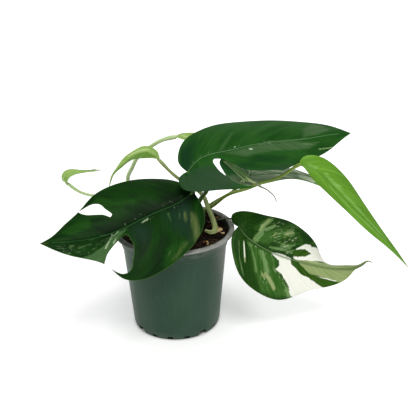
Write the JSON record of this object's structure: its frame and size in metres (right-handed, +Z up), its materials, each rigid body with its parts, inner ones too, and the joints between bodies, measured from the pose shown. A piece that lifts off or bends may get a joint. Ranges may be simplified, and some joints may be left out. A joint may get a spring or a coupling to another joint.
{
  "type": "potted pothos",
  "caption": "Climbing foliage plant with slit and variegated leaves on long petioles, growing in potting mix in a thin-walled round nursery pot",
  "frame": {"origin": "middle of the pot's flat base, on the surface that it stands on", "axes": "+Z up along the pot's axis, +X towards the tips of the right-hand leaves, -Y the side that the front leaf hangs over"},
  "size_m": [0.2953, 0.126, 0.1746],
  "materials": {
    "pot_plastic": "satin moulded dark green",
    "potting_mix": "damp bark and peat",
    "dark_leaf": "waxy dark green",
    "variegated_leaf": "waxy green with white sectors",
    "young_leaf": "waxy bright green",
    "back_leaf": "dull grey green",
    "pale_leaf": "soft pale green",
    "green_petiole": "smooth olive green",
    "pale_petiole": "smooth pale green",
    "dry_sheath": "papery"
  },
  "bodies": {
    "root": {"pot": "pot_plastic", "soil": "potting_mix", "main_stem": "green_petiole", "top_leaf": "dark_leaf", "top_petiole": "green_petiole", "front_leaf": "dark_leaf", "front_petiole": "green_petiole", "variegated_leaf": "variegated_leaf", "variegated_petiole": "pale_petiole", "young_leaf": "young_leaf", "young_petiole": "green_petiole", "back_leaf": "back_leaf", "back_petiole": "green_petiole", "mid_left_leaf": "pale_leaf", "mid_left_petiole": "pale_petiole", "arching_leaf": "pale_leaf", "arching_petiole": "pale_petiole", "far_left_leaf": "pale_leaf", "far_left_petiole": "pale_petiole", "dried_sheath": "dry_sheath", "dried_tip": "dry_sheath"}
  },
  "joints": []
}
